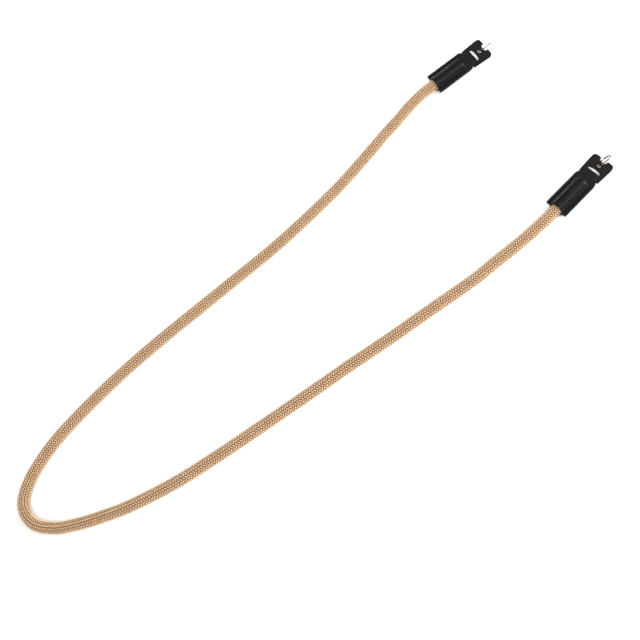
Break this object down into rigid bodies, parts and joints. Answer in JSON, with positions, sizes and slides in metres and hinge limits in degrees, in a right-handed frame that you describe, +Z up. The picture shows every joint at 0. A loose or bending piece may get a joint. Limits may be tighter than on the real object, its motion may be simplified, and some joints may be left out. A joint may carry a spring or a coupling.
{
  "type": "camera neck strap",
  "caption": "Camera neck strap of round braided rope, with both ends sewn into black leather tips that carry leather guard tabs and small split rings.",
  "frame": {"origin": "bottom centre of the box round the two leather ends with their guards and rings, on the surface that the strap lies on", "axes": "+X from the left end to the right end, +Y the way both tips point, with the rope's loop towards -Y, +Z up from the surface"},
  "size_m": [0.2249, 0.5494, 0.0132],
  "materials": {
    "rope_nylon": "braided nylon with a soft sheen",
    "tip_leather": "smooth black leather with a slight gloss",
    "guard_leather": "matt brown-black leather",
    "ring_nickel": "bright nickel plate"
  },
  "bodies": {
    "root": {"rope": "rope_nylon", "left_tip": "tip_leather", "left_guard": "guard_leather", "left_ring": "ring_nickel", "right_tip": "tip_leather", "right_guard": "guard_leather", "right_ring": "ring_nickel"}
  },
  "joints": []
}
